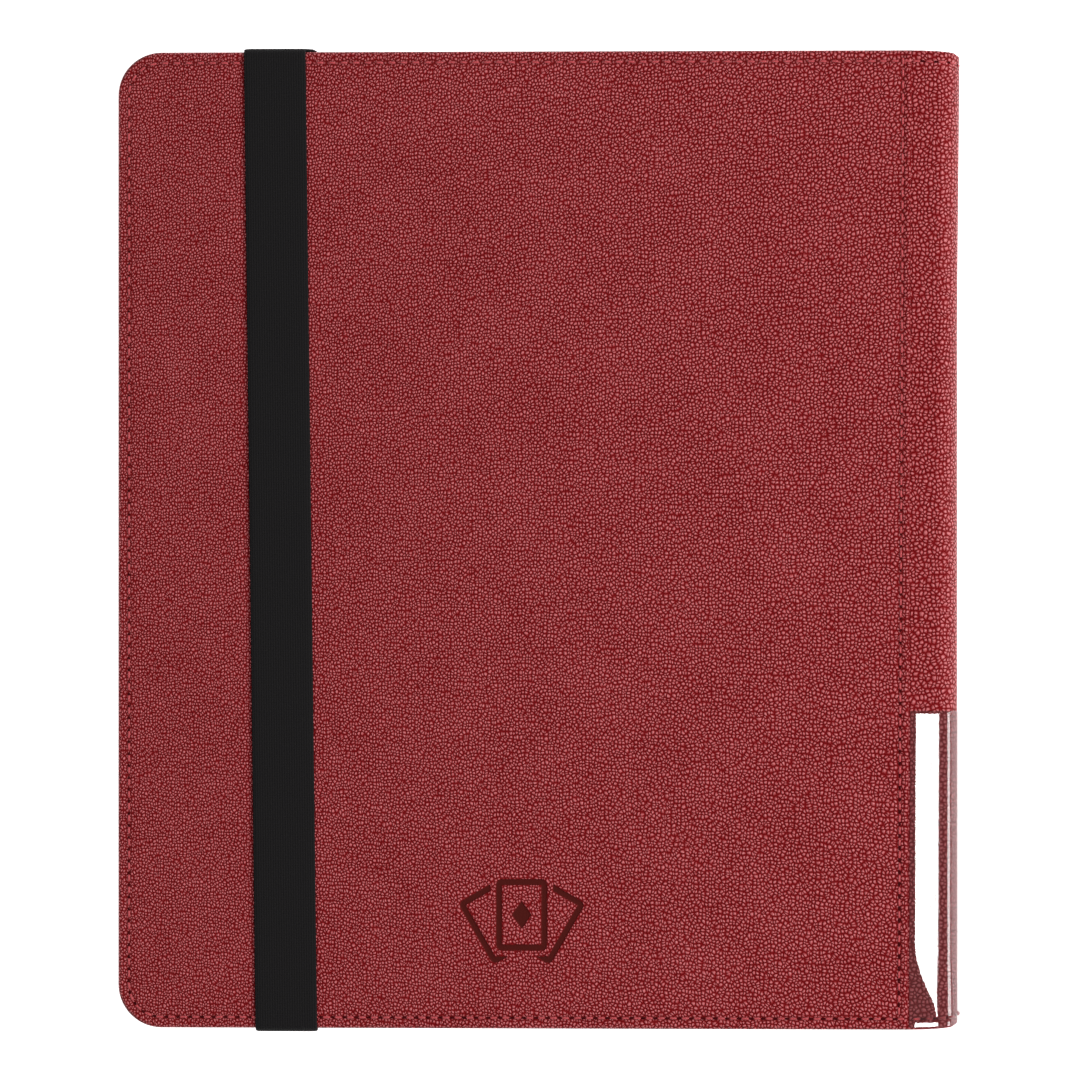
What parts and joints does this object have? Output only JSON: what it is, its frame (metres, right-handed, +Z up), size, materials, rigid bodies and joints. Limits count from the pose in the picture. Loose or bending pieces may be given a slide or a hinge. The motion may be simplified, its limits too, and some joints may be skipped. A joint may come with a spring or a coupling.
{
  "type": "trading card binder",
  "caption": "Trading card binder with leather covers, a label window on the spine, side-loading pocket pages and an elastic closing strap, lying closed with its back cover up.",
  "frame": {"origin": "under the middle of the closed binder's bounding box, on the surface that the front cover lies on", "axes": "+X from the fore edge to the spine, +Y from tail to head along the spine, +Z up through the back cover"},
  "size_m": [0.2716, 0.3174, 0.0373],
  "materials": {
    "cover_leather": "satin, pebble grained",
    "hinge_leather": "satin, pebble grained, backed with cloth",
    "cover_board": "matte grey board",
    "cover_lining": "matte fine cloth",
    "spine_leather": "satin, pebble grained",
    "label_film": "clear soft film",
    "page_binding": "matte",
    "leaf_sheet": "fine matte",
    "pocket_film": "clear soft film",
    "elastic": "woven, matte"
  },
  "bodies": {
    "front_cover": {"front_cover_leather": "cover_leather", "front_cover_board": "cover_board", "front_cover_lining": "cover_lining"},
    "spine": {"spine_leather": "spine_leather", "spine_board": "cover_board", "spine_lining": "cover_lining", "front_hinge_leather": "hinge_leather", "back_hinge_leather": "hinge_leather", "label_window": "label_film", "page_binding": "page_binding"},
    "back_cover": {"back_cover_leather": "cover_leather", "back_cover_board": "cover_board", "back_cover_lining": "cover_lining", "strap_head_end": "elastic", "strap_tail_end": "elastic"},
    "strap": {"strap_band": "elastic"},
    "leaf_01": {"leaf_01_sheet": "leaf_sheet", "leaf_01_pockets": "pocket_film"},
    "leaf_02": {"leaf_02_sheet": "leaf_sheet", "leaf_02_pockets": "pocket_film"},
    "leaf_03": {"leaf_03_sheet": "leaf_sheet", "leaf_03_pockets": "pocket_film"},
    "leaf_04": {"leaf_04_sheet": "leaf_sheet", "leaf_04_pockets": "pocket_film"},
    "leaf_05": {"leaf_05_sheet": "leaf_sheet", "leaf_05_pockets": "pocket_film"},
    "leaf_06": {"leaf_06_sheet": "leaf_sheet", "leaf_06_pockets": "pocket_film"},
    "leaf_07": {"leaf_07_sheet": "leaf_sheet", "leaf_07_pockets": "pocket_film"},
    "leaf_08": {"leaf_08_sheet": "leaf_sheet", "leaf_08_pockets": "pocket_film"},
    "leaf_09": {"leaf_09_sheet": "leaf_sheet", "leaf_09_pockets": "pocket_film"},
    "leaf_10": {"leaf_10_sheet": "leaf_sheet", "leaf_10_pockets": "pocket_film"},
    "leaf_11": {"leaf_11_sheet": "leaf_sheet", "leaf_11_pockets": "pocket_film"},
    "leaf_12": {"leaf_12_sheet": "leaf_sheet", "leaf_12_pockets": "pocket_film"},
    "leaf_13": {"leaf_13_sheet": "leaf_sheet", "leaf_13_pockets": "pocket_film"},
    "leaf_14": {"leaf_14_sheet": "leaf_sheet", "leaf_14_pockets": "pocket_film"},
    "leaf_15": {"leaf_15_sheet": "leaf_sheet", "leaf_15_pockets": "pocket_film"},
    "leaf_16": {"leaf_16_sheet": "leaf_sheet", "leaf_16_pockets": "pocket_film"},
    "leaf_17": {"leaf_17_sheet": "leaf_sheet", "leaf_17_pockets": "pocket_film"},
    "leaf_18": {"leaf_18_sheet": "leaf_sheet", "leaf_18_pockets": "pocket_film"},
    "leaf_19": {"leaf_19_sheet": "leaf_sheet", "leaf_19_pockets": "pocket_film"},
    "leaf_20": {"leaf_20_sheet": "leaf_sheet", "leaf_20_pockets": "pocket_film"}
  },
  "joints": [
    {"name": "spine_fold", "type": "hinge", "parent": "front_cover", "child": "spine", "pos_m": [0.1338, 0, 0.0023], "axis": [0, 1, 0], "range_deg": [0, 90], "deforming": ["front_hinge_leather", "label_window"]},
    {"name": "back_cover_fold", "type": "hinge", "parent": "spine", "child": "back_cover", "pos_m": [0.1338, 0, 0.0357], "axis": [0, 1, 0], "range_deg": [0, 93.18], "deforming": ["back_hinge_leather"]},
    {"name": "leaf_01_turn", "type": "hinge", "parent": "spine", "child": "leaf_01", "pos_m": [0.1268, 0, 0.0057], "axis": [0, 1, 0], "range_deg": [-90.86, 0]},
    {"name": "leaf_02_turn", "type": "hinge", "parent": "spine", "child": "leaf_02", "pos_m": [0.1264, 0, 0.0071], "axis": [0, 1, 0], "range_deg": [-86.35, 0]},
    {"name": "leaf_03_turn", "type": "hinge", "parent": "spine", "child": "leaf_03", "pos_m": [0.126, 0, 0.0085], "axis": [0, 1, 0], "range_deg": [-84.64, 0]},
    {"name": "leaf_04_turn", "type": "hinge", "parent": "spine", "child": "leaf_04", "pos_m": [0.1256, 0, 0.0099], "axis": [0, 1, 0], "range_deg": [-83.03, 0]},
    {"name": "leaf_05_turn", "type": "hinge", "parent": "spine", "child": "leaf_05", "pos_m": [0.1252, 0, 0.0113], "axis": [0, 1, 0], "range_deg": [-81.52, 0]},
    {"name": "leaf_06_turn", "type": "hinge", "parent": "spine", "child": "leaf_06", "pos_m": [0.1248, 0, 0.0127], "axis": [0, 1, 0], "range_deg": [-80.12, 0]},
    {"name": "leaf_07_turn", "type": "hinge", "parent": "spine", "child": "leaf_07", "pos_m": [0.1244, 0, 0.0141], "axis": [0, 1, 0], "range_deg": [-78.81, 0]},
    {"name": "leaf_08_turn", "type": "hinge", "parent": "spine", "child": "leaf_08", "pos_m": [0.124, 0, 0.0155], "axis": [0, 1, 0], "range_deg": [-77.55, 0]},
    {"name": "leaf_09_turn", "type": "hinge", "parent": "spine", "child": "leaf_09", "pos_m": [0.1236, 0, 0.0169], "axis": [0, 1, 0], "range_deg": [-76.39, 0]},
    {"name": "leaf_10_turn", "type": "hinge", "parent": "spine", "child": "leaf_10", "pos_m": [0.1232, 0, 0.0183], "axis": [0, 1, 0], "range_deg": [-75.28, 0]},
    {"name": "leaf_11_turn", "type": "hinge", "parent": "spine", "child": "leaf_11", "pos_m": [0.1232, 0, 0.0197], "axis": [0, 1, 0], "range_deg": [0, 78.98]},
    {"name": "leaf_12_turn", "type": "hinge", "parent": "spine", "child": "leaf_12", "pos_m": [0.1236, 0, 0.0211], "axis": [0, 1, 0], "range_deg": [0, 80.08]},
    {"name": "leaf_13_turn", "type": "hinge", "parent": "spine", "child": "leaf_13", "pos_m": [0.124, 0, 0.0225], "axis": [0, 1, 0], "range_deg": [0, 81.24]},
    {"name": "leaf_14_turn", "type": "hinge", "parent": "spine", "child": "leaf_14", "pos_m": [0.1244, 0, 0.0239], "axis": [0, 1, 0], "range_deg": [0, 82.5]},
    {"name": "leaf_15_turn", "type": "hinge", "parent": "spine", "child": "leaf_15", "pos_m": [0.1248, 0, 0.0253], "axis": [0, 1, 0], "range_deg": [0, 83.81]},
    {"name": "leaf_16_turn", "type": "hinge", "parent": "spine", "child": "leaf_16", "pos_m": [0.1252, 0, 0.0267], "axis": [0, 1, 0], "range_deg": [0, 85.22]},
    {"name": "leaf_17_turn", "type": "hinge", "parent": "spine", "child": "leaf_17", "pos_m": [0.1256, 0, 0.0281], "axis": [0, 1, 0], "range_deg": [0, 86.73]},
    {"name": "leaf_18_turn", "type": "hinge", "parent": "spine", "child": "leaf_18", "pos_m": [0.126, 0, 0.0295], "axis": [0, 1, 0], "range_deg": [0, 88.33]},
    {"name": "leaf_19_turn", "type": "hinge", "parent": "spine", "child": "leaf_19", "pos_m": [0.1264, 0, 0.0309], "axis": [0, 1, 0], "range_deg": [0, 90.04]},
    {"name": "leaf_20_turn", "type": "hinge", "parent": "spine", "child": "leaf_20", "pos_m": [0.1268, 0, 0.0323], "axis": [0, 1, 0], "range_deg": [0, 94.2]},
    {"name": "strap_pull", "type": "slide", "parent": "back_cover", "child": "strap", "axis": [-0.9981, 0, -0.0616], "range_m": [0, 0.075], "stiffness_N_per_m": 40, "deforming": ["strap_head_end", "strap_tail_end"]}
  ],
  "couplings": [
    {"joint": "back_cover_fold", "follows": "spine_fold", "ratio": 1.0353},
    {"joint": "leaf_01_turn", "follows": "spine_fold", "ratio": -1.0095},
    {"joint": "leaf_02_turn", "follows": "spine_fold", "ratio": -0.95943},
    {"joint": "leaf_03_turn", "follows": "spine_fold", "ratio": -0.94045},
    {"joint": "leaf_04_turn", "follows": "spine_fold", "ratio": -0.92258},
    {"joint": "leaf_05_turn", "follows": "spine_fold", "ratio": -0.90582},
    {"joint": "leaf_06_turn", "follows": "spine_fold", "ratio": -0.89018},
    {"joint": "leaf_07_turn", "follows": "spine_fold", "ratio": -0.87564},
    {"joint": "leaf_08_turn", "follows": "spine_fold", "ratio": -0.86166},
    {"joint": "leaf_09_turn", "follows": "spine_fold", "ratio": -0.84879},
    {"joint": "leaf_10_turn", "follows": "spine_fold", "ratio": -0.83648},
    {"joint": "leaf_11_turn", "follows": "spine_fold", "ratio": 0.8775},
    {"joint": "leaf_12_turn", "follows": "spine_fold", "ratio": 0.88982},
    {"joint": "leaf_13_turn", "follows": "spine_fold", "ratio": 0.90269},
    {"joint": "leaf_14_turn", "follows": "spine_fold", "ratio": 0.91667},
    {"joint": "leaf_15_turn", "follows": "spine_fold", "ratio": 0.93121},
    {"joint": "leaf_16_turn", "follows": "spine_fold", "ratio": 0.94686},
    {"joint": "leaf_17_turn", "follows": "spine_fold", "ratio": 0.96362},
    {"joint": "leaf_18_turn", "follows": "spine_fold", "ratio": 0.98149},
    {"joint": "leaf_19_turn", "follows": "spine_fold", "ratio": 1.0005},
    {"joint": "leaf_20_turn", "follows": "spine_fold", "ratio": 1.0467}
  ]
}
